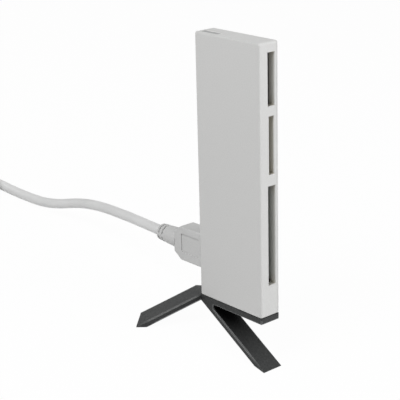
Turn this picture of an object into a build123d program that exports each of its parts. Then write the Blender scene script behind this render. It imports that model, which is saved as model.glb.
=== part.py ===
from build123d import *
from math import cos, pi, radians, sin, tan
import os

# A slim desktop card reader, leaning back on a three-legged cast stand, with its cable plugged in.
# World frame: floor at Z = 0, +X towards the user and the card slots, the reader's wide faces along Y.
# "Deck" frame: the reader's own upright frame, X from the cord side to the slot side, Y from the front
# face to the rear face with 0 midway, Z up from the face that stands on the stand.

# Card slots along the slot side, from the stand upward
foot_margin = 14.05
wide_slot_length = 43.8
wide_slot_opening = 3.85
slim_spacing = 5.0
slim_slot_length = 24.6
slim_slot_opening = 2.6
stick_spacing = 4.3
stick_slot_length = 22.0
stick_slot_opening = 3.5
head_margin = 4.35

# Layers through the housing, from the front face to the rear face
wall = 1.3
board_standoff = 1.45
board_thickness = 1.2
socket_height = 5.2
cover_gap = 0.2
rear_cover_thickness = 1.2

# Housing
reader_width = 38.75
corner_round = 1.0
edge_round = 0.8
slot_wall = 3.2
slot_edge = 0.3
seam_edge = 0.15
fit_gap = 0.15
board_margin = 0.6
card_rise = 2.6
tab_width = 5.0
tab_thickness = 0.9
tab_depth = 1.5
tab_pitch = 32.0
tab_count = 3
screw_post = 4.2
screw_core = 1.3
screw_head = 3.0
screw_head_height = 0.8
screw_inset = 5.4

# Status light on the top face
window_length = 10.0
window_width = 3.9
window_round = 0.8
window_setback = 2.4
window_inset = 1.5
pipe_flange = 0.5
pipe_recess = 0.1
pipe_stem_length = 3.0
led_size = 3.0
led_height = 1.6
led_thickness = 1.0

# Card sockets
socket_back = 10.4
stick_socket_back = 14.4
socket_arm = 1.0
wide_arm = 1.3
wide_lip = 0.9
header_depth = 5.0
back_wall = 1.4
shell_gauge = 0.3
shell_flange = 2.0
pin_pitch = 1.27
pin_columns = 25
pin_size = 0.45
pin_length = 5.0
slim_contacts = 9
slim_contact_pitch = 2.5
stick_contacts = 10
stick_contact_pitch = 2.0
contact_width = 0.8
contact_length = 7.0
contact_gauge = 0.25
contact_rise = 0.7

# Parts on the board
controller_size = 10.0
chip_thickness = 1.0
lead_width = 0.25
lead_length = 0.9
lead_thickness = 0.15
lead_pitch = 0.75
leads_per_side = 11
memory_width = 4.0
memory_length = 5.0
memory_leads_per_side = 4
memory_lead_pitch = 1.27
crystal_length = 11.0
crystal_width = 4.2
crystal_height = 3.3
capacitor_length = 1.6
capacitor_width = 0.8
capacitor_count = 6
capacitor_pitch = 2.4
part_spacing = 6.0

# Small USB port in the cord side
port_level = 20.2
port_rise = 1.0
port_width = 7.7
port_thickness = 3.9
port_length = 9.0
port_setback = 0.35
port_gauge = 0.3
port_round = 0.8
port_block = 2.4
tongue_reach = 7.2
blade_width = 4.6
blade_thickness = 0.9
port_contacts_count = 5
port_contact_pitch = 0.8

# Cast stand
lean = 12.62
deck_height = 15.26
plate_thickness = 2.8
leg_thickness = 2.65
front_leg_slope = 31.1
front_leg_root = -0.66
rear_leg_angle = 118.5
rear_leg_slope = 22.2
toe_height = 0.35
throat_round = 1.25
leg_edge = 0.4
plate_edge = 0.6
peg_length = 14.0
peg_width = 3.0
peg_height = 1.0

# Cable: the plug in the reader
cord_diameter = 4.8
plug_gap = 0.3
plug_height = 16.0
plug_thickness = 8.4
plug_length = 18.45
plug_shoulder = 3.2
plug_taper = 4.6
plug_edge = 0.7
panel_margin = 3.6
panel_depth = 0.5
panel_rise = 0.5
panel_setback = 0.6
panel_front_gap = 1.0
relief_length = 12.5
relief_root = 9.2
relief_end = 7.6
groove_inset = 1.5
groove_pitch = 2.4
groove_width = 0.9
groove_depth = 0.6
groove_bridge = 1.2
plug_shell_gap = 0.15
plug_shell_gauge = 0.3
plug_shell_length = 6.0
plug_core_length = 2.0
straight_run = 30.6
landing_run = 18.8
descent_start = Vector(-103.0, -2.4, 12.6)
descent_end = Vector(-122.0, -6.7, 5.6)
bend_share = 0.45

# Cable: the plug for the computer
host_width = 16.0
host_thickness = 8.0
host_length = 22.0
host_edge = 1.2
host_relief_length = 10.0
host_relief_root = 7.4
host_relief_end = 6.4
host_shell_width = 12.0
host_shell_thickness = 4.5
host_shell_length = 12.0
host_shell_gauge = 0.3
host_tongue_thickness = 1.9
host_contact_width = 1.0
host_contact_pitch = 2.3
host_contact_count = 4
host_contact_length = 7.5
host_contact_gauge = 0.2

# Cable: the coil and its tie
coil_diameter = 48.4
coil_columns = 2
coil_layers = 3
coil_centre = Vector(-170.0, -45.6)
coil_entry_angle = 104.0
coil_exit_angle = 270.0
coil_lead_in = 18.0
coil_lead_out = 30.0
coil_edge = 1.5
tie_angle = 15.0
tie_arc = 14.0
tie_thickness = 0.8
tie_gap = 0.1

reader_height = (foot_margin + wide_slot_length + slim_spacing + slim_slot_length
                 + stick_spacing + stick_slot_length + head_margin)
reader_depth = (wall + board_standoff + board_thickness + socket_height
                + cover_gap + rear_cover_thickness)
half_depth = reader_depth / 2

# The front toe and the rear top edge of the reader bound the object along X: the origin is midway
leg_top_root = front_leg_root + leg_thickness / sin(radians(front_leg_slope))
root_height = deck_height + leg_top_root * sin(radians(lean)) - plate_thickness * cos(radians(lean))
toe_x = (leg_top_root * cos(radians(lean)) + plate_thickness * sin(radians(lean))
         + (root_height - toe_height) / tan(radians(front_leg_slope - lean)))
top_x = (corner_round * cos(radians(lean)) - corner_round
         - (reader_height - corner_round) * sin(radians(lean)))
deck = Plane(
    origin=(-(toe_x + top_x) / 2, 0, deck_height),
    x_dir=(cos(radians(lean)), 0, sin(radians(lean))),
    z_dir=(-sin(radians(lean)), 0, cos(radians(lean))),
)
along_x = Axis(deck.origin, deck.x_dir)
along_y = Axis(deck.origin, deck.y_dir)

# Places in the deck frame
inner_front = -half_depth + wall
board_front = inner_front + board_standoff
board_rear = board_front + board_thickness
slot_line = board_rear + card_rise
parting = half_depth - rear_cover_thickness
socket_mouth = reader_width - slot_wall - fit_gap
wide_base = foot_margin
slim_base = wide_base + wide_slot_length + slim_spacing
stick_base = slim_base + slim_slot_length + stick_spacing
port_line = board_rear + port_rise
window_centre = (window_setback + window_length / 2, -half_depth + window_inset + window_width / 2)
screw_places = [
    (screw_inset, wide_base + wide_slot_length / 2),
    (screw_inset, stick_base - stick_spacing),
    (reader_width - screw_inset - slot_wall, foot_margin / 2),
]


def wide_plane(y):
    """Plane along the wide faces: local x and y are the deck's X and Z, extruding towards the front."""
    return Plane(origin=deck.from_local_coords((0, y, 0)), x_dir=deck.x_dir, z_dir=-deck.y_dir)


def slot_plane(x):
    """Plane along the narrow sides: local x and y are the deck's Y and Z, extruding towards the slots."""
    return Plane(origin=deck.from_local_coords((x, 0, 0)), x_dir=deck.y_dir, z_dir=deck.x_dir)


def write(piece, name):
    """Label a finished piece and write its STEP file."""
    piece.part.label = name
    export_step(piece.part, f"parts/{name}.step")


os.makedirs("parts", exist_ok=True)

# Front cover: a tray with the slots, the port hole, the light window and the stand's socket
with BuildPart() as front_cover:
    with BuildSketch(wide_plane(parting)):
        with Locations((reader_width / 2, reader_height / 2)):
            RectangleRounded(reader_width, reader_height, corner_round)
    extrude(amount=parting + half_depth)
    fillet(front_cover.faces().sort_by(along_y)[0].edges(), edge_round)
    with BuildSketch(wide_plane(parting)):
        with Locations((wall, wall)):
            Rectangle(reader_width - wall - slot_wall, reader_height - 2 * wall, align=Align.MIN)
    extrude(amount=parting - inner_front, mode=Mode.SUBTRACT)
    with BuildSketch(slot_plane(reader_width)):
        with Locations((slot_line, wide_base + wide_slot_length / 2)):
            Rectangle(wide_slot_opening, wide_slot_length)
        with Locations((slot_line, slim_base + slim_slot_length / 2)):
            Rectangle(slim_slot_opening, slim_slot_length)
        with Locations((slot_line, stick_base + stick_slot_length / 2)):
            Rectangle(stick_slot_opening, stick_slot_length)
    extrude(amount=-slot_wall, mode=Mode.SUBTRACT)
    slot_face = front_cover.faces().filter_by(along_x).sort_by(along_x)[-1]
    chamfer([edge for rim in slot_face.inner_wires() for edge in rim.edges()], slot_edge)
    with BuildSketch(slot_plane(0)):
        with Locations((port_line, port_level)):
            RectangleRounded(port_thickness + 2 * fit_gap, port_width + 2 * fit_gap, port_round)
    extrude(amount=wall, mode=Mode.SUBTRACT)
    with BuildSketch(deck.offset(reader_height)):
        with Locations(window_centre):
            RectangleRounded(window_length, window_width, window_round)
    extrude(amount=-wall, mode=Mode.SUBTRACT)
    with BuildSketch(deck):
        with Locations((reader_width / 2, 0)):
            Rectangle(peg_length + 2 * fit_gap, peg_width + 2 * fit_gap)
    extrude(amount=wall, mode=Mode.SUBTRACT)
    with BuildSketch(wide_plane(board_front)):
        with Locations(*screw_places):
            Circle(screw_post / 2)
            Circle(screw_core / 2, mode=Mode.SUBTRACT)
    extrude(amount=board_standoff)
write(front_cover, "front_cover")

# Rear cover: a plate with snap tabs that reach inside the tray
with BuildPart() as rear_cover:
    with BuildSketch(wide_plane(half_depth)):
        with Locations((reader_width / 2, reader_height / 2)):
            RectangleRounded(reader_width, reader_height, corner_round)
    extrude(amount=rear_cover_thickness)
    fillet(rear_cover.faces().sort_by(along_y)[-1].edges(), edge_round)
    chamfer(rear_cover.faces().sort_by(along_y)[0].edges(), seam_edge)
    tab_offset = wall + fit_gap + tab_thickness / 2
    with BuildSketch(wide_plane(parting)):
        with Locations((tab_offset, reader_height / 2)):
            with GridLocations(tab_pitch, tab_pitch, 1, tab_count):
                Rectangle(tab_thickness, tab_width)
        with Locations((reader_width / 2, tab_offset), (reader_width / 2, reader_height - tab_offset)):
            Rectangle(tab_width, tab_thickness)
    extrude(amount=tab_depth)
write(rear_cover, "rear_cover")

# Circuit board with a notch for the port and holes for its screws
with BuildPart() as main_board:
    board_left = wall + board_margin
    board_bottom = wall + board_margin
    board_top = reader_height - wall - board_margin - pipe_flange
    with BuildSketch(wide_plane(board_rear)):
        with Locations((board_left, board_bottom)):
            Rectangle(socket_mouth - board_left, board_top - board_bottom, align=Align.MIN)
        with Locations((0, port_level)):
            Rectangle(2 * (port_setback + port_length), port_width, mode=Mode.SUBTRACT)
        with Locations(*screw_places):
            Circle(screw_core / 2, mode=Mode.SUBTRACT)
    extrude(amount=board_thickness)
write(main_board, "main_board")

# Screws that hold the board to the tray
with BuildPart() as board_screws:
    with BuildSketch(wide_plane(board_rear + screw_head_height)):
        with Locations(*screw_places):
            Circle(screw_head / 2)
    extrude(amount=screw_head_height)
    with BuildSketch(wide_plane(board_rear)):
        with Locations(*screw_places):
            Circle(screw_core / 2)
    extrude(amount=board_thickness + board_standoff)
write(board_screws, "board_screws")

# Wide card socket: a header block with two grooved guide arms
with BuildPart() as wide_socket_frame:
    with BuildSketch(wide_plane(board_rear + socket_height)):
        with Locations((socket_back, wide_base - wide_arm)):
            Rectangle(socket_mouth - socket_back, wide_slot_length + 2 * wide_arm, align=Align.MIN)
        with Locations((socket_back + header_depth, wide_base + wide_lip)):
            Rectangle(socket_mouth, wide_slot_length - 2 * wide_lip, align=Align.MIN, mode=Mode.SUBTRACT)
    extrude(amount=socket_height)
    with BuildSketch(slot_plane(socket_back + header_depth)):
        with Locations((slot_line, wide_base + wide_slot_length / 2)):
            Rectangle(wide_slot_opening, wide_slot_length)
    extrude(amount=reader_width, mode=Mode.SUBTRACT)
write(wide_socket_frame, "wide_socket_frame")

with BuildPart() as wide_socket_pins:
    with BuildSketch(slot_plane(socket_back + header_depth)):
        with Locations((slot_line, wide_base + wide_slot_length / 2)):
            with GridLocations(pin_pitch, pin_pitch, 2, pin_columns):
                Rectangle(pin_size, pin_size)
    extrude(amount=pin_length)
write(wide_socket_pins, "wide_socket_pins")


def card_socket(name, back, base, length, opening, contacts, pitch):
    """Tray, spring contacts and sheet-metal shell of a flat card socket that stands on the board."""
    floor = slot_line - opening / 2
    lid = slot_line + opening / 2
    with BuildPart() as frame:
        with BuildSketch(wide_plane(lid)):
            with Locations((back, base - socket_arm)):
                Rectangle(socket_mouth - back, length + 2 * socket_arm, align=Align.MIN)
        extrude(amount=lid - board_rear)
        with BuildSketch(wide_plane(lid)):
            with Locations((back + back_wall, base)):
                Rectangle(socket_mouth, length, align=Align.MIN)
        extrude(amount=opening, mode=Mode.SUBTRACT)
    write(frame, f"{name}_socket_frame")

    with BuildPart() as springs:
        with BuildSketch(Plane(origin=deck.from_local_coords((back + back_wall, floor, base + length / 2)),
                               x_dir=deck.x_dir, z_dir=deck.z_dir)):
            with BuildLine():
                Polyline((0, 0), (contact_length / 4, 0), (3 * contact_length / 4, contact_rise),
                         (contact_length, contact_rise / 2),
                         (contact_length, contact_rise / 2 + contact_gauge),
                         (3 * contact_length / 4, contact_rise + contact_gauge),
                         (contact_length / 4, contact_gauge), (0, contact_gauge), close=True)
            make_face()
        strip = extrude(amount=contact_width / 2, both=True, mode=Mode.PRIVATE)
        for index in range(contacts):
            add(strip.moved(Location(deck.z_dir * pitch * (index - (contacts - 1) / 2))))
    write(springs, f"{name}_socket_contacts")

    with BuildPart() as shell:
        with BuildSketch(wide_plane(lid + shell_gauge)):
            with Locations((back, base - socket_arm - shell_gauge)):
                Rectangle(socket_mouth - back, length + 2 * (socket_arm + shell_gauge), align=Align.MIN)
        extrude(amount=shell_gauge + shell_flange)
        with BuildSketch(wide_plane(lid)):
            with Locations((back, base - socket_arm)):
                Rectangle(socket_mouth, length + 2 * socket_arm, align=Align.MIN)
        extrude(amount=shell_flange, mode=Mode.SUBTRACT)
    write(shell, f"{name}_socket_shell")


card_socket("slim", socket_back, slim_base, slim_slot_length, slim_slot_opening,
            slim_contacts, slim_contact_pitch)
card_socket("stick", stick_socket_back, stick_base, stick_slot_length, stick_slot_opening,
            stick_contacts, stick_contact_pitch)

# Chips on the front of the board
controller_place = (reader_width / 2, slim_base + slim_slot_length / 2)
memory_place = (reader_width / 2,
                controller_place[1] - controller_size / 2 - part_spacing - memory_length / 2)
with BuildPart() as controller_chip:
    with BuildSketch(wide_plane(board_front - lead_thickness)):
        with Locations(controller_place):
            Rectangle(controller_size, controller_size)
    extrude(amount=chip_thickness)
write(controller_chip, "controller_chip")

with BuildPart() as controller_leads:
    lead_reach = controller_size / 2
    with BuildSketch(wide_plane(board_front)):
        with Locations(controller_place):
            with GridLocations(2 * lead_reach, lead_pitch, 2, leads_per_side):
                Rectangle(2 * lead_length, lead_width)
            with GridLocations(lead_pitch, 2 * lead_reach, leads_per_side, 2):
                Rectangle(lead_width, 2 * lead_length)
    extrude(amount=lead_thickness)
write(controller_leads, "controller_leads")

with BuildPart() as memory_chip:
    with BuildSketch(wide_plane(board_front - lead_thickness)):
        with Locations(memory_place):
            Rectangle(memory_width, memory_length)
    extrude(amount=chip_thickness)
write(memory_chip, "memory_chip")

with BuildPart() as memory_leads:
    with BuildSketch(wide_plane(board_front)):
        with Locations(memory_place):
            with GridLocations(memory_width, memory_lead_pitch, 2, memory_leads_per_side):
                Rectangle(2 * lead_length, lead_width)
    extrude(amount=lead_thickness)
write(memory_leads, "memory_leads")

with BuildPart() as chip_capacitors:
    with BuildSketch(wide_plane(board_front)):
        with Locations((controller_place[0], controller_place[1] + controller_size / 2 + part_spacing)):
            with GridLocations(capacitor_pitch, capacitor_pitch, capacitor_count, 1):
                Rectangle(capacitor_width, capacitor_length)
    extrude(amount=capacitor_width)
write(chip_capacitors, "chip_capacitors")

# Crystal can on the rear of the board, between the cord side and the slim socket
with BuildPart() as crystal_can:
    with BuildSketch(wide_plane(board_rear + crystal_height)):
        with Locations(((board_left + socket_back) / 2, slim_base + slim_slot_length / 2)):
            SlotOverall(crystal_length, crystal_width, rotation=90)
    extrude(amount=crystal_height)
    chamfer(crystal_can.faces().sort_by(along_y)[-1].edges(), edge_round)
write(crystal_can, "crystal_can")

# Status light: a lamp on the front of the board and a light pipe in the top face
lamp_line = board_front - led_thickness / 2
pipe_bottom = reader_height - wall - pipe_flange
lamp_top = pipe_bottom - pipe_stem_length
with BuildPart() as status_led:
    with BuildSketch(wide_plane(board_front)):
        with Locations((window_centre[0], lamp_top - led_height / 2)):
            Rectangle(led_size, led_height)
    extrude(amount=led_thickness)
write(status_led, "status_led")

with BuildPart() as light_pipe:
    with BuildSketch(deck.offset(pipe_bottom)):
        with Locations(window_centre):
            RectangleRounded(window_length + 2 * pipe_flange, window_width + 2 * pipe_flange,
                             window_round + pipe_flange)
        with Locations((window_centre[0], inner_front)):
            Rectangle(2 * window_length, reader_depth, align=(Align.CENTER, Align.MAX), mode=Mode.SUBTRACT)
    extrude(amount=pipe_flange)
    with BuildSketch(deck.offset(pipe_bottom)):
        with Locations(window_centre):
            RectangleRounded(window_length - fit_gap, window_width - fit_gap, window_round)
    extrude(amount=pipe_flange + wall - pipe_recess)
    with BuildSketch(deck.offset(lamp_top)):
        with Locations((window_centre[0], lamp_line)):
            Rectangle(led_size, led_thickness)
    extrude(amount=pipe_stem_length)
write(light_pipe, "light_pipe")

# Port in the cord side: a drawn shell round an insulator with a contact blade
with BuildPart() as port_shell:
    with BuildSketch(slot_plane(port_setback)):
        with Locations((port_line, port_level)):
            RectangleRounded(port_thickness, port_width, port_round)
            RectangleRounded(port_thickness - 2 * port_gauge, port_width - 2 * port_gauge,
                             port_round - port_gauge, mode=Mode.SUBTRACT)
    extrude(amount=port_length)
write(port_shell, "port_shell")

block_start = port_setback + port_length - port_block
with BuildPart() as port_insulator:
    with BuildSketch(slot_plane(block_start)):
        with Locations((port_line, port_level)):
            RectangleRounded(port_thickness - 2 * port_gauge, port_width - 2 * port_gauge,
                             port_round - port_gauge)
    extrude(amount=port_block)
    with BuildSketch(slot_plane(block_start)):
        with Locations((port_line, port_level)):
            Rectangle(blade_thickness, blade_width)
    extrude(amount=port_block - tongue_reach)
write(port_insulator, "port_insulator")

with BuildPart() as port_contacts:
    with BuildSketch(wide_plane(port_line + blade_thickness / 2 + contact_gauge)):
        with Locations((block_start, port_level)):
            with GridLocations(port_contact_pitch, port_contact_pitch, 1, port_contacts_count):
                Rectangle(tongue_reach - port_block - lead_length, lead_width + contact_gauge,
                          align=(Align.MAX, Align.CENTER))
    extrude(amount=contact_gauge)
write(port_contacts, "port_contacts")

# Cast stand: plate, hub and front leg as one section, two rear legs folded down from the hub
hub_half_angle = radians(180 - rear_leg_angle)
hub_length = half_depth * tan(hub_half_angle)
fold_length = half_depth / cos(hub_half_angle)
fold_middle = deck.from_local_coords((-hub_length / 2, -half_depth / 2, 0))
run_direction = deck.from_local_coords((-cos(hub_half_angle), -sin(hub_half_angle), 0)) - deck.origin
front_run = (deck_height + leg_thickness) / sin(radians(front_leg_slope - lean))
front_step = Vector(front_run, 0).rotate(Axis.Z, -front_leg_slope)
rear_run = 2 * deck_height / sin(radians(rear_leg_slope))
rear_step = Vector(rear_run, 0).rotate(Axis.Z, -rear_leg_slope)
rear_drop = Vector(0, -plate_thickness)
front_top = Plane(origin=deck.from_local_coords((leg_top_root, 0, -plate_thickness)),
                  x_dir=deck.y_dir, z_dir=deck.z_dir.rotate(along_y, front_leg_slope))
fold_axis = Axis(fold_middle, deck.z_dir.cross(run_direction))
rear_top = Plane(origin=fold_middle, x_dir=fold_axis.direction,
                 z_dir=deck.z_dir.rotate(fold_axis, rear_leg_slope))
plate_tip = deck.from_local_coords((reader_width, 0, -plate_thickness))
front_slant = Axis(front_top.origin, deck.x_dir.rotate(along_y, front_leg_slope))
rear_slant = Axis(fold_middle, run_direction.rotate(fold_axis, rear_leg_slope))


def toe_plane(top, side=1):
    """Upright plane where a leg's top face has come down to the toe height, or its mirror image."""
    downhill = Vector(top.z_dir.X, side * top.z_dir.Y, 0)
    start = Vector(top.origin.X, side * top.origin.Y, 0)
    reach = (top.origin.Z - toe_height) * top.z_dir.Z / downhill.length
    return Plane(origin=start + downhill.normalized() * reach, z_dir=downhill)


with BuildPart() as tripod_stand:
    with BuildSketch(wide_plane(half_depth)):
        with BuildLine():
            root = Vector(front_leg_root, -plate_thickness)
            throat = Vector(leg_top_root, -plate_thickness)
            Polyline((0, 0), (reader_width, 0), (reader_width, -plate_thickness), throat,
                     throat + front_step, root + front_step, root, close=True)
        make_face()
    extrude(amount=reader_depth)
    throat_edge = tripod_stand.edges().filter_by(along_y).sort_by_distance(front_top.origin)[0]
    fillet(throat_edge, throat_round)
    fillet(tripod_stand.edges().filter_by(along_y).sort_by_distance(plate_tip)[0], plate_edge)
    chamfer(tripod_stand.edges().filter_by(front_slant), leg_edge)
    with BuildSketch(deck):
        with BuildLine():
            Polyline((0, -half_depth), (0, half_depth), (-hub_length, 0), close=True)
        make_face()
    extrude(amount=-plate_thickness)
    with BuildPart(mode=Mode.PRIVATE) as rear_leg:
        with BuildSketch(Plane(origin=fold_middle, x_dir=run_direction,
                               z_dir=run_direction.cross(deck.z_dir))):
            with BuildLine():
                Polyline((0, 0), rear_step, rear_step + rear_drop, rear_drop, close=True)
            make_face()
        extrude(amount=fold_length / 2, both=True)
        chamfer(rear_leg.edges().filter_by(rear_slant).sort_by(Axis.Z)[-2:], leg_edge)
    add(rear_leg.part)
    mirror(rear_leg.part, about=Plane.XZ)
    split(bisect_by=Plane.XY, keep=Keep.TOP)
    split(bisect_by=toe_plane(front_top), keep=Keep.BOTTOM)
    split(bisect_by=toe_plane(rear_top), keep=Keep.BOTTOM)
    split(bisect_by=toe_plane(rear_top, side=-1), keep=Keep.BOTTOM)
    with BuildSketch(deck):
        with Locations((reader_width / 2, 0)):
            Rectangle(peg_length, peg_width)
    extrude(amount=peg_height)
write(tripod_stand, "tripod_stand")

# Plug in the reader: moulded block with a sunk panel each side and a strain relief with bridged grooves
plug_front = -plug_gap
plug_rear = plug_front - plug_length
relief_tip = plug_rear - relief_length
relief_flare = (relief_root - relief_end) / 2 / relief_length
plug_axis = Axis(deck.from_local_coords((0, port_line, port_level)), deck.x_dir)
with BuildPart() as reader_plug_body:
    with BuildSketch(wide_plane(port_line + plug_thickness / 2)):
        with BuildLine():
            low = port_level - plug_height / 2
            high = port_level + plug_height / 2
            Polyline((plug_front, low), (plug_front, high), (plug_rear + plug_taper, high),
                     (plug_rear, high - plug_shoulder), (plug_rear, low + plug_shoulder),
                     (plug_rear + plug_taper, low), close=True)
        make_face()
    extrude(amount=plug_thickness)
    fillet(reader_plug_body.edges().filter_by(along_y), plug_edge)
    fillet(reader_plug_body.faces().sort_by(along_y)[0].edges(), plug_edge)
    fillet(reader_plug_body.faces().sort_by(along_y)[-1].edges(), plug_edge)
    panel_length = plug_length - plug_taper - panel_setback - panel_front_gap
    panel_middle = plug_front - panel_front_gap - panel_length / 2
    for face_line, depth in ((port_line + plug_thickness / 2, panel_depth),
                             (port_line - plug_thickness / 2, -panel_depth)):
        with BuildSketch(wide_plane(face_line)):
            with Locations((panel_middle, port_level + panel_rise)):
                RectangleRounded(panel_length, plug_height - 2 * panel_margin, plug_edge)
        extrude(amount=depth, mode=Mode.SUBTRACT)
    with BuildSketch(wide_plane(port_line)):
        with BuildLine():
            Polyline((plug_rear + plug_edge, port_level),
                     (plug_rear + plug_edge, port_level + relief_root / 2),
                     (plug_rear, port_level + relief_root / 2), (relief_tip, port_level + relief_end / 2),
                     (relief_tip, port_level), close=True)
        make_face()
    revolve(axis=plug_axis)
    with BuildPart(mode=Mode.PRIVATE) as relief_grooves:
        with BuildSketch(wide_plane(port_line)):
            for distance in (groove_inset, groove_inset + groove_pitch):
                groove_floor = relief_end / 2 + distance * relief_flare - groove_depth
                with Locations((relief_tip + distance, port_level + groove_floor)):
                    Rectangle(groove_width, 2 * groove_depth, align=(Align.CENTER, Align.MIN))
        revolve(axis=plug_axis)
        with BuildSketch(wide_plane(port_line + relief_root)):
            with Locations((relief_tip, port_level)):
                Rectangle(relief_length, groove_bridge, align=(Align.MIN, Align.CENTER))
        extrude(amount=2 * relief_root, mode=Mode.SUBTRACT)
    add(relief_grooves.part, mode=Mode.SUBTRACT)
write(reader_plug_body, "reader_plug_body")

plug_shell_width = port_width - 2 * (port_gauge + plug_shell_gap)
plug_shell_thickness = port_thickness - 2 * (port_gauge + plug_shell_gap)
plug_shell_round = port_round - port_gauge
with BuildPart() as reader_plug_shell:
    with BuildSketch(slot_plane(plug_front)):
        with Locations((port_line, port_level)):
            RectangleRounded(plug_shell_thickness, plug_shell_width, plug_shell_round)
            Rectangle(plug_shell_thickness - 2 * plug_shell_gauge, plug_shell_width - 2 * plug_shell_gauge,
                      mode=Mode.SUBTRACT)
    extrude(amount=plug_shell_length)
write(reader_plug_shell, "reader_plug_shell")

with BuildPart() as reader_plug_core:
    with BuildSketch(slot_plane(plug_front)):
        with Locations((port_line, port_level)):
            Rectangle(plug_shell_thickness - 2 * plug_shell_gauge, plug_shell_width - 2 * plug_shell_gauge)
    extrude(amount=plug_core_length)
write(reader_plug_core, "reader_plug_core")

# Coil of spare cable: a rolled ring with a straight lead in and a straight lead out
coil_radius = coil_diameter / 2
outer_turn = coil_radius + (coil_columns - 1) * cord_diameter / 2
turn_height = tie_thickness + cord_diameter / 2
host_axis_height = host_thickness / 2


def coil_place(angle, radius, height):
    """Point on the coil at an angle from +X."""
    return Vector(coil_centre.X + radius * cos(radians(angle)),
                  coil_centre.Y + radius * sin(radians(angle)), height)


def coil_travel(angle):
    """Direction along the turns at an angle from +X."""
    return Vector(-sin(radians(angle)), cos(radians(angle)), 0)


coil_entry = coil_place(coil_entry_angle, outer_turn, turn_height)
coil_exit = coil_place(coil_exit_angle, outer_turn, host_axis_height)
entry_travel = coil_travel(coil_entry_angle)
exit_travel = coil_travel(coil_exit_angle)
with BuildPart() as cord_coil:
    with BuildSketch(Plane.XY.offset(tie_thickness)):
        with Locations(coil_centre):
            Circle(coil_radius + coil_columns * cord_diameter / 2)
            Circle(coil_radius - coil_columns * cord_diameter / 2, mode=Mode.SUBTRACT)
    extrude(amount=coil_layers * cord_diameter)
    chamfer(cord_coil.edges().filter_by(GeomType.CIRCLE), coil_edge)
    with BuildSketch(Plane(origin=coil_entry, z_dir=-entry_travel)):
        Circle(cord_diameter / 2)
    extrude(amount=coil_lead_in)
    with BuildSketch(Plane(origin=coil_exit, z_dir=exit_travel)):
        Circle(cord_diameter / 2)
    extrude(amount=coil_lead_out)
write(cord_coil, "cord_coil")

with BuildPart() as coil_tie:
    tie_height = coil_layers * cord_diameter + 2 * tie_thickness
    tie_width = coil_columns * cord_diameter + 2 * (tie_thickness + tie_gap)
    with BuildSketch(Plane(origin=(coil_centre.X, coil_centre.Y, 0),
                           x_dir=(cos(radians(tie_angle)), sin(radians(tie_angle)), 0),
                           z_dir=(sin(radians(tie_angle)), -cos(radians(tie_angle)), 0))):
        with Locations((coil_radius, tie_height / 2)):
            Rectangle(tie_width, tie_height)
            Rectangle(tie_width - 2 * tie_thickness, coil_layers * cord_diameter, mode=Mode.SUBTRACT)
    revolve(axis=Axis((coil_centre.X, coil_centre.Y, 0), (0, 0, 1)), revolution_arc=tie_arc)
write(coil_tie, "coil_tie")

# Cable from the plug to the coil: straight out of the relief, down to the floor and into the coil
relief_mouth = deck.from_local_coords((relief_tip, port_line, port_level))
lead_in = coil_entry - entry_travel * coil_lead_in
cord_route = [
    relief_mouth,
    relief_mouth - deck.x_dir * straight_run,
    descent_start,
    descent_end,
    lead_in - entry_travel * landing_run,
    lead_in,
]
cord_radii = []
for before, corner, after in zip(cord_route, cord_route[1:], cord_route[2:]):
    turn = (corner - before).get_angle(after - corner)
    shorter = min((corner - before).length, (after - corner).length)
    cord_radii.append(bend_share * shorter / tan(radians(turn / 2)))
print("cord arc radii", [round(radius, 1) for radius in cord_radii])
with BuildPart() as cord:
    with BuildLine() as cord_path:
        FilletPolyline(*cord_route, radius=cord_radii)
    with BuildSketch(Plane(origin=relief_mouth, z_dir=-deck.x_dir)):
        Circle(cord_diameter / 2)
    sweep(path=cord_path.line)
cord_length = cord_path.wire().length
print("cord length", round(cord_length, 1))
print("cord volume ratio", round(cord.part.volume / (cord_length * pi * cord_diameter ** 2 / 4), 4))
write(cord, "cord")

# Plug for the computer, lying flat beside the coil
host_mouth = coil_exit + exit_travel * coil_lead_out
host_across = Vector(0, 0, 1).cross(exit_travel)
host_shell_start = host_relief_length + host_length


def host_plane(distance):
    """Plane across the computer plug's axis: local x is across, local y is up."""
    return Plane(origin=host_mouth + exit_travel * distance, x_dir=host_across, z_dir=exit_travel)


with BuildPart() as host_plug_body:
    with BuildSketch(host_plane(host_relief_length)):
        RectangleRounded(host_width, host_thickness, host_edge)
    extrude(amount=host_length)
    chamfer(host_plug_body.faces().sort_by(Axis(host_mouth, exit_travel))[0].edges(), host_edge)
    with BuildSketch(host_plane(host_relief_length)):
        Circle(host_relief_root / 2)
    with BuildSketch(host_plane(0)):
        Circle(host_relief_end / 2)
    loft()
write(host_plug_body, "host_plug_body")

with BuildPart() as host_plug_shell:
    with BuildSketch(host_plane(host_shell_start)):
        Rectangle(host_shell_width, host_shell_thickness)
        Rectangle(host_shell_width - 2 * host_shell_gauge, host_shell_thickness - 2 * host_shell_gauge,
                  mode=Mode.SUBTRACT)
    extrude(amount=host_shell_length)
write(host_plug_shell, "host_plug_shell")

tongue_drop = (host_shell_thickness - host_tongue_thickness) / 2 - host_shell_gauge
with BuildPart() as host_plug_tongue:
    with BuildSketch(host_plane(host_shell_start)):
        with Locations((0, -tongue_drop)):
            Rectangle(host_shell_width - 2 * host_shell_gauge, host_tongue_thickness)
    extrude(amount=host_shell_length)
write(host_plug_tongue, "host_plug_tongue")

with BuildPart() as host_plug_contacts:
    with BuildSketch(host_plane(host_shell_start)):
        with Locations((0, host_tongue_thickness / 2 - tongue_drop + host_contact_gauge / 2)):
            with GridLocations(host_contact_pitch, host_contact_pitch, host_contact_count, 1):
                Rectangle(host_contact_width, host_contact_gauge)
    extrude(amount=host_contact_length)
write(host_plug_contacts, "host_plug_contacts")
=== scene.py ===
import bpy
from math import atan2, cos, radians, sin
from mathutils import Matrix, Vector


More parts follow.
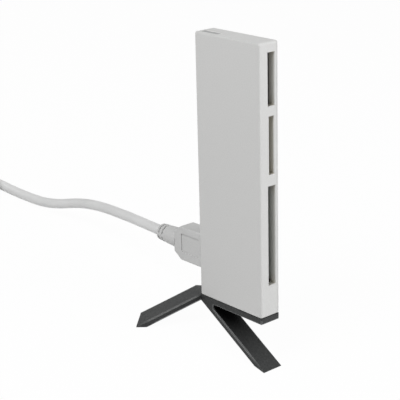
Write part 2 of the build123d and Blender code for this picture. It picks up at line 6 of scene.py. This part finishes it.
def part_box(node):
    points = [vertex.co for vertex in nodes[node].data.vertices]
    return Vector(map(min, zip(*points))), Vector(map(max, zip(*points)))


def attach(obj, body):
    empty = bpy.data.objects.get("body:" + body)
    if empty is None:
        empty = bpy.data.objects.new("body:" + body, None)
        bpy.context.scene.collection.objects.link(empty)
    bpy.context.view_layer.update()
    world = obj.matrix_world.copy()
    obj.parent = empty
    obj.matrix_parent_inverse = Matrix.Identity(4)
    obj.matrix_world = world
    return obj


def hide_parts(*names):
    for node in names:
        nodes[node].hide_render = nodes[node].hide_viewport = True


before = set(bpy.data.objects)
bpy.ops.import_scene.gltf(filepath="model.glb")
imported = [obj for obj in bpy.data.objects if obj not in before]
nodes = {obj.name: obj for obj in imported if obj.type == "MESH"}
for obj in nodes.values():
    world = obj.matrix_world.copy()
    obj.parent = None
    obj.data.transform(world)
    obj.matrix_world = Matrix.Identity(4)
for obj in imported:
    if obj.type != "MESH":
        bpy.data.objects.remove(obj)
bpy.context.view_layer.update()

scene = bpy.context.scene
mm = 0.001
print("frame loaded:", len(nodes), "nodes")

# camera at the photograph's angle, worked out in millimetres
cameraView = {
    "place": (328.69, -346.55, 317.07),
    "right": (0.64889, 0.75117, 0.12120),
    "up": (-0.42732, 0.22798, 0.87488),
    "back": (0.62955, -0.61949, 0.46893),
    "lens": 114.66,
    "sensor": 36.0,
    "clipStart": 0.01,
    "clipEnd": 20.0,
}


def setCamera(view):
    data = bpy.data.cameras.new("photoCamera")
    data.sensor_width = view["sensor"]
    data.lens = view["lens"]
    data.clip_start = view["clipStart"]
    data.clip_end = view["clipEnd"]
    camera = bpy.data.objects.new("photoCamera", data)
    scene.collection.objects.link(camera)
    turn = Matrix((view["right"], view["up"], view["back"])).transposed().to_4x4()
    camera.matrix_world = Matrix.Translation(Vector(view["place"]) * mm) @ turn
    scene.camera = camera


setCamera(cameraView)
print("camera set")


# small helpers for node materials
noiseSpan = (0.3, 0.7)  # the part of a noise's range that is used
cloudSpan = (0.35, 0.65)
nearRays = 16
mixA, mixB, mixResult = 6, 7, 2  # the Mix node's colour sockets


def newMaterial(name):
    material = bpy.data.materials.new(name)
    material.use_nodes = True
    tree = material.node_tree
    shader = tree.nodes["Principled BSDF"]
    return material, tree, shader


def addNode(tree, kind, **values):
    node = tree.nodes.new(kind)
    for key, value in values.items():
        if key in node.inputs:
            node.inputs[key].default_value = value
        else:
            setattr(node, key, value)
    return node


def noiseOn(tree, scale, detail=3.0, roughness=0.55, stretch=(1.0, 1.0, 1.0)):
    coords = addNode(tree, "ShaderNodeTexCoord")
    mapping = addNode(tree, "ShaderNodeMapping", Scale=stretch)
    noise = addNode(tree, "ShaderNodeTexNoise", Scale=scale, Detail=detail, Roughness=roughness)
    tree.links.new(coords.outputs["Object"], mapping.inputs["Vector"])
    tree.links.new(mapping.outputs["Vector"], noise.inputs["Vector"])
    return noise.outputs["Fac"]


def rampOn(tree, source, stops):
    ramp = addNode(tree, "ShaderNodeValToRGB")
    points = ramp.color_ramp.elements
    while len(points) < len(stops):
        points.new(0.5)
    for point, (place, tint) in zip(points, stops):
        point.position = place
        point.color = (*tint, 1.0)
    tree.links.new(source, ramp.inputs["Fac"])
    return ramp.outputs["Color"]


def rangeOn(tree, source, low, high, newLow, newHigh):
    mapRange = addNode(tree, "ShaderNodeMapRange")
    for socket, value in zip(("From Min", "From Max", "To Min", "To Max"), (low, high, newLow, newHigh)):
        mapRange.inputs[socket].default_value = value
    tree.links.new(source, mapRange.inputs["Value"])
    return mapRange.outputs["Result"]


def bumpOn(tree, shader, source, strength, distance):
    bump = addNode(tree, "ShaderNodeBump", Strength=strength, Distance=distance)
    tree.links.new(source, bump.inputs["Height"])
    tree.links.new(bump.outputs["Normal"], shader.inputs["Normal"])


def mouldedFinish(name, facts):
    material, tree, shader = newMaterial(name)
    grain = noiseOn(tree, facts["grainScale"], detail=2.0)
    cloud = noiseOn(tree, facts["cloudScale"], detail=3.0)
    tint = rampOn(tree, cloud, tuple(zip(cloudSpan, (facts["dark"], facts["light"]))))
    tree.links.new(tint, shader.inputs["Base Color"])
    rough = rangeOn(tree, grain, *noiseSpan, *facts["rough"])
    tree.links.new(rough, shader.inputs["Roughness"])
    bumpOn(tree, shader, grain, facts["bump"], facts["bumpDepth"])
    return material


def nearFaces(tree, reach, inside):
    near = addNode(tree, "ShaderNodeAmbientOcclusion", Distance=reach, samples=nearRays)
    near.inside = inside
    near.only_local = True
    return near.outputs["AO"]


def paintOf(material):
    tree = material.node_tree
    shader = tree.nodes["Principled BSDF"]
    return tree, shader, shader.inputs["Base Color"].links[0].from_socket


def tintPaint(tree, shader, paint, share, tint, blendType="MIX"):
    blend = addNode(tree, "ShaderNodeMix", data_type="RGBA", blend_type=blendType)
    tree.links.new(share, blend.inputs["Factor"])
    tree.links.new(paint, blend.inputs[mixA])
    blend.inputs[mixB].default_value = (*tint, 1.0)
    tree.links.new(blend.outputs[mixResult], shader.inputs["Base Color"])


def metalFinish(name, facts):
    material, tree, shader = newMaterial(name)
    brush = noiseOn(tree, facts["brushScale"], detail=4.0, stretch=facts["brushStretch"])
    tint = rampOn(tree, brush, tuple(zip(noiseSpan, (facts["dark"], facts["light"]))))
    tree.links.new(tint, shader.inputs["Base Color"])
    rough = rangeOn(tree, brush, *noiseSpan, *facts["rough"])
    tree.links.new(rough, shader.inputs["Roughness"])
    shader.inputs["Metallic"].default_value = 1.0
    bumpOn(tree, shader, brush, facts["bump"], facts["bumpDepth"])
    return material


def dress(material, *names):
    for name in names:
        mesh = nodes[name].data
        mesh.materials.clear()
        mesh.materials.append(material)


# the reader's pale covers: satin plastic with a fine spark texture, and painted warm shade on the walls inside
# the slots
coverFinish = {
    "grainScale": 2600.0,
    "cloudScale": 1700.0,
    "dark": (0.610, 0.610, 0.603),
    "light": (0.642, 0.642, 0.635),
    "rough": (0.42, 0.52),
    "bump": 0.12,
    "bumpDepth": 0.00006,
}
slotShade = {
    "tint": (0.94, 0.90, 0.79),  # painted warm shade on the walls inside the slots
    "reach": 0.005,  # how far apart a slot's walls may be
    "from": 0.40,
    "to": 0.85,
}


def paintSlotShade(material, facts):
    tree, shader, paint = paintOf(material)
    # painted shade: the cover's colour is multiplied by a warm tint where the slot walls close in
    share = rangeOn(tree, nearFaces(tree, facts["reach"], False), facts["from"], facts["to"], 1.0, 0.0)
    tintPaint(tree, shader, paint, share, facts["tint"], "MULTIPLY")


coverPlastic = mouldedFinish("coverPlastic", coverFinish)
paintSlotShade(coverPlastic, slotShade)
dress(coverPlastic, "front_cover", "rear_cover")

# the cast stand: dark textured paint on zinc, with a painted highlight along its outer edges and painted shade
# where its own faces close in, as in the throat under the plate
standPaintAndLight = {
    "grainScale": 1700.0,
    "cloudScale": 1100.0,
    "dark": (0.030, 0.0315, 0.0315),
    "light": (0.046, 0.0475, 0.0475),
    "rough": (0.42, 0.58),
    "bump": 0.35,
    "bumpDepth": 0.00012,
    "gloss": 0.2,
    "edgeGlint": (0.34, 0.345, 0.345),
    "edgeReach": 0.0007,  # how far in from an outer edge the painted highlight reaches
    "edgeFrom": 0.94,
    "edgeTo": 0.73,
    "deckNormal": (-0.2184839, 0.0, 0.9758406),
    "glintBelow": 0.0156,  # heights along deckNormal: the plate's rim under the cover gets no painted highlight
    "noGlintAbove": 0.0164,
    "footLow": 0.0012,  # heights above the floor: the cut ends of the feet get no painted highlight either
    "footHigh": 0.0036,
    "throatReach": 0.030,  # how far apart the faces of a corner may be for it to get painted shade, in colour and in gloss
    "throatFrom": 0.50,
    "throatTo": 0.97,
    "throatShade": 0.05,
}


def paintEdgeGlintAndShade(material, facts):
    tree, shader, paint = paintOf(material)
    # painted shade: paint and gloss are darkened where the stand's faces close in
    corner = nearFaces(tree, facts["throatReach"], False)
    shade = rangeOn(tree, corner, facts["throatFrom"], facts["throatTo"], facts["throatShade"], 1.0)
    shadedPaint = addNode(tree, "ShaderNodeVectorMath", operation="SCALE")
    tree.links.new(paint, shadedPaint.inputs["Vector"])
    tree.links.new(shade, shadedPaint.inputs["Scale"])
    # painted highlight: the paint is lightened along outer edges, where light would glint on them
    edge = nearFaces(tree, facts["edgeReach"], True)
    glinted = rangeOn(tree, edge, facts["edgeTo"], facts["edgeFrom"], 1.0, 0.0)
    coords = addNode(tree, "ShaderNodeTexCoord")
    height = addNode(tree, "ShaderNodeVectorMath", operation="DOT_PRODUCT")
    tree.links.new(coords.outputs["Object"], height.inputs[0])
    height.inputs[1].default_value = facts["deckNormal"]
    glintZone = rangeOn(tree, height.outputs["Value"], facts["glintBelow"], facts["noGlintAbove"], 1.0, 0.0)
    axes = addNode(tree, "ShaderNodeSeparateXYZ")
    tree.links.new(coords.outputs["Object"], axes.inputs["Vector"])
    aboveFoot = rangeOn(tree, axes.outputs["Z"], facts["footLow"], facts["footHigh"], 0.0, 1.0)
    share = glinted
    for limit in (glintZone, aboveFoot):
        both = addNode(tree, "ShaderNodeMath", operation="MULTIPLY")
        tree.links.new(share, both.inputs[0])
        tree.links.new(limit, both.inputs[1])
        share = both.outputs["Value"]
    tintPaint(tree, shader, shadedPaint.outputs["Vector"], share, facts["edgeGlint"])
    gloss = addNode(tree, "ShaderNodeMath", operation="MULTIPLY")
    tree.links.new(shade, gloss.inputs[0])
    gloss.inputs[1].default_value = facts["gloss"]
    tree.links.new(gloss.outputs["Value"], shader.inputs["Specular IOR Level"])


standPaint = mouldedFinish("standPaint", standPaintAndLight)
paintEdgeGlintAndShade(standPaint, standPaintAndLight)
dress(standPaint, "tripod_stand")

plugFinish = dict(coverFinish, dark=(0.565, 0.566, 0.562), light=(0.605, 0.606, 0.602), rough=(0.45, 0.6))
plugPlastic = mouldedFinish("plugPlastic", plugFinish)
dress(plugPlastic, "reader_plug_body", "host_plug_body")

cordFinish = dict(coverFinish, dark=(0.71, 0.712, 0.710), light=(0.75, 0.752, 0.750), rough=(0.38, 0.5),
                  cloudScale=90.0)
cordJacket = mouldedFinish("cordJacket", cordFinish)

socketFinish = dict(coverFinish, dark=(0.050, 0.044, 0.034), light=(0.068, 0.061, 0.049), rough=(0.5, 0.65))
socketPlastic = mouldedFinish("socketPlastic", socketFinish)
dress(socketPlastic, "wide_socket_frame", "slim_socket_frame", "stick_socket_frame", "port_insulator",
      "reader_plug_core")

insulatorFinish = dict(coverFinish, dark=(0.72, 0.72, 0.70), light=(0.78, 0.78, 0.76))
insulatorPlastic = mouldedFinish("insulatorPlastic", insulatorFinish)
dress(insulatorPlastic, "host_plug_tongue")

tieFinish = dict(coverFinish, dark=(0.02, 0.02, 0.021), light=(0.03, 0.03, 0.032))
tiePlastic = mouldedFinish("tiePlastic", tieFinish)
dress(tiePlastic, "coil_tie")

chipFinish = dict(coverFinish, dark=(0.015, 0.015, 0.017), light=(0.024, 0.024, 0.026), rough=(0.5, 0.7))
chipResin = mouldedFinish("chipResin", chipFinish)
dress(chipResin, "controller_chip", "memory_chip")

ceramicFinish = dict(coverFinish, dark=(0.42, 0.30, 0.18), light=(0.52, 0.38, 0.24), rough=(0.5, 0.7))
ceramicTan = mouldedFinish("ceramicTan", ceramicFinish)
dress(ceramicTan, "chip_capacitors")

boardFinish = dict(coverFinish, dark=(0.012, 0.055, 0.022), light=(0.02, 0.08, 0.034), rough=(0.25, 0.4))
boardResist = mouldedFinish("boardResist", boardFinish)
dress(boardResist, "main_board")

# the light window: a smoked strip in front, and behind it a pale strip that is a painted highlight
windowFinishAndHighlight = {
    "smoked": (0.26, 0.262, 0.264),
    "paintedHighlight": (0.77, 0.77, 0.76),
    "changeFrom": -0.00125,
    "changeTo": -0.00085,
    "grainScale": 3000.0,
    "rough": (0.30, 0.42),
}


def windowWithPaintedHighlight(name, facts):
    material, tree, shader = newMaterial(name)
    coords = addNode(tree, "ShaderNodeTexCoord")
    axes = addNode(tree, "ShaderNodeSeparateXYZ")
    tree.links.new(coords.outputs["Object"], axes.inputs["Vector"])
    across = rangeOn(tree, axes.outputs["Y"], facts["changeFrom"], facts["changeTo"], 0.0, 1.0)
    # painted highlight: the rear strip is pale, standing in for light caught behind the window
    tint = rampOn(tree, across, ((0.0, facts["smoked"]), (1.0, facts["paintedHighlight"])))
    tree.links.new(tint, shader.inputs["Base Color"])
    grain = noiseOn(tree, facts["grainScale"], detail=2.0)
    rough = rangeOn(tree, grain, *noiseSpan, *facts["rough"])
    tree.links.new(rough, shader.inputs["Roughness"])
    return material


dress(windowWithPaintedHighlight("windowLens", windowFinishAndHighlight), "light_pipe")

lampFinish = dict(coverFinish, dark=(0.75, 0.74, 0.60), light=(0.85, 0.84, 0.72), rough=(0.2, 0.3))
lampResin = mouldedFinish("lampResin", lampFinish)
dress(lampResin, "status_led")

steelFinish = {
    "brushScale": 900.0,
    "brushStretch": (1.0, 1.0, 0.08),
    "dark": (0.52, 0.52, 0.51),
    "light": (0.66, 0.66, 0.64),
    "rough": (0.28, 0.42),
    "bump": 0.05,
    "bumpDepth": 0.00004,
}
platedSteel = metalFinish("platedSteel", steelFinish)
dress(platedSteel, "slim_socket_shell", "stick_socket_shell", "port_shell", "reader_plug_shell",
      "host_plug_shell", "board_screws", "crystal_can", "controller_leads", "memory_leads")

goldFinish = dict(steelFinish, dark=(0.72, 0.50, 0.20), light=(0.84, 0.62, 0.28), rough=(0.22, 0.34))
goldPlate = metalFinish("goldPlate", goldFinish)
dress(goldPlate, "wide_socket_pins", "slim_socket_contacts", "stick_socket_contacts", "port_contacts",
      "host_plug_contacts")
print("finishes on the nodes")

# moulded ribs, repeated by geometry nodes
ribSides = 12
quarterTurn = radians(90.0)


def ribSizes(facts, *keys):
    return {"Count": facts["count"], **{key.capitalize(): facts[key] * mm for key in keys}}


def newRibTree(name, values):
    tree = bpy.data.node_groups.new(name, "GeometryNodeTree")
    tree.interface.new_socket("Geometry", in_out="INPUT", socket_type="NodeSocketGeometry")
    tree.interface.new_socket("Geometry", in_out="OUTPUT", socket_type="NodeSocketGeometry")
    settings = {}
    for label, value in values.items():
        kind = "NodeSocketInt" if isinstance(value, int) else "NodeSocketFloat"
        socket = tree.interface.new_socket(label, in_out="INPUT", socket_type=kind)
        settings[socket.identifier] = value
    sizes = tree.nodes.new("NodeGroupInput")
    rib = addNode(tree, "GeometryNodeMeshCylinder", Vertices=ribSides)
    tree.links.new(sizes.outputs["Radius"], rib.inputs["Radius"])
    tree.links.new(sizes.outputs["Length"], rib.inputs["Depth"])
    copies = addNode(tree, "GeometryNodeInstanceOnPoints")
    tree.links.new(rib.outputs["Mesh"], copies.inputs["Instance"])
    return tree, settings, sizes, copies


def endRibTree(tree, copies, place, turn, material):
    moved = addNode(tree, "GeometryNodeTransform", Translation=place, Rotation=turn)
    solid = addNode(tree, "GeometryNodeRealizeInstances")
    finish = addNode(tree, "GeometryNodeSetMaterial", Material=material)
    tree.links.new(copies.outputs["Instances"], moved.inputs["Geometry"])
    tree.links.new(moved.outputs["Geometry"], solid.inputs["Geometry"])
    tree.links.new(solid.outputs["Geometry"], finish.inputs["Geometry"])
    tree.links.new(finish.outputs["Geometry"], tree.nodes.new("NodeGroupOutput").inputs["Geometry"])


def growRibs(name, tree, settings):
    piece = bpy.data.objects.new(name, bpy.data.meshes.new(name))
    scene.collection.objects.link(piece)
    modifier = piece.modifiers.new("ribs", "NODES")
    modifier.node_group = tree
    for identifier, value in settings.items():
        modifier[identifier] = value
    graph = bpy.context.evaluated_depsgraph_get()
    mesh = bpy.data.meshes.new_from_object(piece.evaluated_get(graph))
    piece.modifiers.clear()
    piece.data = mesh
    return piece


# ribs across the computer plug's grip, in millimetres
gripRibs = {
    "count": 5,
    "pitch": 2.2,
    "radius": 0.5,
    "length": 10.0,
    "first": (-124.4, -72.2, 7.75),
}


def makeGripRibs(facts):
    tree, settings, sizes, copies = newRibTree("gripRibs", ribSizes(facts, "pitch", "radius", "length"))
    row = addNode(tree, "GeometryNodeMeshLine", mode="OFFSET")
    step = addNode(tree, "ShaderNodeCombineXYZ")
    tree.links.new(sizes.outputs["Pitch"], step.inputs["X"])
    tree.links.new(sizes.outputs["Count"], row.inputs["Count"])
    tree.links.new(step.outputs["Vector"], row.inputs["Offset"])
    tree.links.new(row.outputs["Mesh"], copies.inputs["Points"])
    copies.inputs["Rotation"].default_value = (quarterTurn, 0.0, 0.0)
    endRibTree(tree, copies, tuple(Vector(facts["first"]) * mm), (0.0, 0.0, 0.0), plugPlastic)
    return growRibs("gripRibs", tree, settings)


# ribs round the coil's strap, in millimetres
strapRibs = {
    "count": 46,
    "radius": 0.28,
    "length": 3.6,
    "width": 11.4,
    "height": 16.0,
    "coilRadius": 24.2,
}


def makeStrapRibs(facts, coilCentre):
    values = ribSizes(facts, "width", "height", "radius", "length")
    tree, settings, sizes, copies = newRibTree("strapRibs", values)
    loop = addNode(tree, "GeometryNodeCurvePrimitiveQuadrilateral", mode="RECTANGLE")
    points = addNode(tree, "GeometryNodeCurveToPoints", mode="COUNT")
    tree.links.new(sizes.outputs["Width"], loop.inputs["Width"])
    tree.links.new(sizes.outputs["Height"], loop.inputs["Height"])
    tree.links.new(sizes.outputs["Count"], points.inputs["Count"])
    tree.links.new(loop.outputs["Curve"], points.inputs["Curve"])
    spot = addNode(tree, "GeometryNodeInputPosition")
    axes = addNode(tree, "ShaderNodeSeparateXYZ")
    tree.links.new(spot.outputs["Position"], axes.inputs["Vector"])
    low = addNode(tree, "FunctionNodeCompare", data_type="FLOAT", operation="LESS_THAN")
    low.inputs[1].default_value = (2 * facts["radius"] - facts["height"] / 2) * mm
    tree.links.new(axes.outputs["Y"], low.inputs[0])
    clear = addNode(tree, "GeometryNodeDeleteGeometry", domain="POINT")  # none between the strap and the floor
    tree.links.new(points.outputs["Points"], clear.inputs["Geometry"])
    tree.links.new(low.outputs["Result"], clear.inputs["Selection"])
    tree.links.new(clear.outputs["Geometry"], copies.inputs["Points"])
    lowest, highest = (Vector(corner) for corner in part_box("coil_tie"))
    middle = (lowest + highest) / 2
    angle = atan2(middle.y - coilCentre[1] * mm, middle.x - coilCentre[0] * mm)
    outward = Vector((cos(angle), sin(angle), 0.0)) * facts["coilRadius"]
    place = (Vector((*coilCentre, facts["height"] / 2)) + outward) * mm
    endRibTree(tree, copies, tuple(place), (quarterTurn, 0.0, angle), tiePlastic)
    return growRibs("strapRibs", tree, settings)


# the cable, in millimetres: one line from the reader's plug, round the coil's turns, out to the computer plug
cable = {
    "diameter": 4.8,
    "route": (
        (-44.271, -0.325, 28.144),
        (-74.1, 0.9, 22.1),
        (-103.0, 0.6, 14.6),
        (-122.0, -6.7, 5.6),
        (-140.728, -10.887, 3.2),
        (-158.970, -15.435, 3.2),
    ),
    "leadOut": (
        (-170.0, -72.2, 8.0),
        (-162.0, -72.2, 7.9),
        (-153.0, -72.2, 5.8),
        (-147.0, -72.2, 4.0),
        (-140.0, -72.2, 4.0),
    ),
    "coilCentre": (-170.0, -45.6),
    "turns": ((26.6, 3.2), (21.8, 3.2), (21.8, 8.0), (21.8, 12.8), (26.6, 12.8), (26.6, 8.0)),
    "firstAngle": 104.0,
    "lastAngle": 2065.0,
    "pointsPerTurn": 24,
    "firstChange": 440.0,  # angle by which the first turn has become the second
    "changeEvery": 330.0,
    "changeOver": 60.0,
    "lengthSteps": 6,
    "roundSteps": 6,
    "length": 0.990,  # metres of cord, as declared
}


def easeStep(share):
    share = min(max(share, 0.0), 1.0)
    return share * share * (3.0 - 2.0 * share)


def coilPoint(facts, angle):
    radius, height = facts["turns"][0]
    for index, (before, after) in enumerate(zip(facts["turns"], facts["turns"][1:])):
        end = facts["firstChange"] + index * facts["changeEvery"]
        share = easeStep((angle - end) / facts["changeOver"] + 1.0)
        radius += share * (after[0] - before[0])
        height += share * (after[1] - before[1])
    centreX, centreY = facts["coilCentre"]
    return (centreX + radius * cos(radians(angle)), centreY + radius * sin(radians(angle)), height)


def layCable(facts):
    step = 360.0 / facts["pointsPerTurn"]
    stepCount = int((facts["lastAngle"] - facts["firstAngle"]) / step)
    coil = [coilPoint(facts, facts["firstAngle"] + step * index) for index in range(stepCount + 1)]
    places = [*facts["route"], *coil, *facts["leadOut"]]
    curve = bpy.data.curves.new("cable", "CURVE")
    curve.dimensions = "3D"
    line = curve.splines.new("NURBS")
    line.points.add(len(places) - 1)
    for point, place in zip(line.points, places):
        point.co = (*(Vector(place) * mm), 1.0)
    line.order_u = 3
    line.use_endpoint_u = True
    line.resolution_u = facts["lengthSteps"]
    curve.bevel_depth = facts["diameter"] * mm / 2
    curve.bevel_resolution = facts["roundSteps"]
    curve.use_fill_caps = True
    piece = bpy.data.objects.new("cable", curve)
    scene.collection.objects.link(piece)
    curve.materials.append(cordJacket)
    return piece


cablePiece = layCable(cable)
gripPiece = makeGripRibs(gripRibs)
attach(gripPiece, "root")
strapPiece = makeStrapRibs(strapRibs, cable["coilCentre"])
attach(strapPiece, "root")
print("cable and ribs made")

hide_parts("cord", "cord_coil")
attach(cablePiece, "root")
print("cable joined to its plugs")

# plain pale floor and soft studio light
studio = {
    "floorSize": 6.0,
    "floorTint": (0.85, 0.85, 0.85),
    "floorLift": 0.97,  # share of the floor's own white that the camera sees
    "worldTint": (1.0, 1.0, 1.0),
    "worldStrength": 0.15,
    "lamps": (
        ("frontLamp", (-0.05, -0.52, 0.75), 0.36, 5.0),
        ("sideLamp", (0.65, 0.36, 0.38), 0.5, 4.35),
    ),
    "aim": (-0.005, 0.0, 0.07),
}


def seenDirectly(tree):
    path = addNode(tree, "ShaderNodeLightPath")
    either = addNode(tree, "ShaderNodeMath", operation="MAXIMUM")
    tree.links.new(path.outputs["Is Camera Ray"], either.inputs[0])
    tree.links.new(path.outputs["Is Glossy Ray"], either.inputs[1])
    anySight = addNode(tree, "ShaderNodeMath", operation="MAXIMUM")
    tree.links.new(either.outputs["Value"], anySight.inputs[0])
    tree.links.new(path.outputs["Is Transmission Ray"], anySight.inputs[1])
    return anySight.outputs["Value"]


def layFloor(facts):
    half = facts["floorSize"] / 2
    mesh = bpy.data.meshes.new("studioFloor")
    corners = [(-half, -half, 0), (half, -half, 0), (half, half, 0), (-half, half, 0)]
    mesh.from_pydata(corners, [], [(0, 1, 2, 3)])
    floor = bpy.data.objects.new("studioFloor", mesh)
    scene.collection.objects.link(floor)
    material, tree, shader = newMaterial("studioFloor")
    shader.inputs["Base Color"].default_value = (*facts["floorTint"], 1.0)
    shader.inputs["Roughness"].default_value = 1.0
    shader.inputs["Specular IOR Level"].default_value = 0.0
    glow = addNode(tree, "ShaderNodeEmission", Strength=1.0)
    share = addNode(tree, "ShaderNodeMath", operation="MULTIPLY")
    share.inputs[1].default_value = facts["floorLift"]
    tree.links.new(seenDirectly(tree), share.inputs[0])
    mix = addNode(tree, "ShaderNodeMixShader")
    tree.links.new(share.outputs["Value"], mix.inputs["Fac"])
    tree.links.new(shader.outputs["BSDF"], mix.inputs[1])
    tree.links.new(glow.outputs["Emission"], mix.inputs[2])
    tree.links.new(mix.outputs["Shader"], tree.nodes["Material Output"].inputs["Surface"])
    mesh.materials.append(material)


def lightWorld(facts):
    world = bpy.data.worlds.new("studioWorld")
    scene.world = world
    world.use_nodes = True
    tree = world.node_tree
    lamp = tree.nodes["Background"]
    lamp.inputs["Color"].default_value = (*facts["worldTint"], 1.0)
    lamp.inputs["Strength"].default_value = facts["worldStrength"]
    white = addNode(tree, "ShaderNodeBackground", Strength=1.0)
    white.inputs["Color"].default_value = (1.0, 1.0, 1.0, 1.0)
    mix = addNode(tree, "ShaderNodeMixShader")
    tree.links.new(seenDirectly(tree), mix.inputs["Fac"])
    tree.links.new(lamp.outputs["Background"], mix.inputs[1])
    tree.links.new(white.outputs["Background"], mix.inputs[2])
    tree.links.new(mix.outputs["Shader"], tree.nodes["World Output"].inputs["Surface"])


def hangLamps(facts):
    for name, place, size, watts in facts["lamps"]:
        data = bpy.data.lights.new(name, "AREA")
        data.size = size
        data.energy = watts
        lamp = bpy.data.objects.new(name, data)
        scene.collection.objects.link(lamp)
        lamp.location = place
        lamp.rotation_euler = (Vector(facts["aim"]) - Vector(place)).to_track_quat("-Z", "Y").to_euler()


layFloor(studio)
lightWorld(studio)
hangLamps(studio)
scene.view_settings.view_transform = "Standard"
print("studio lit")
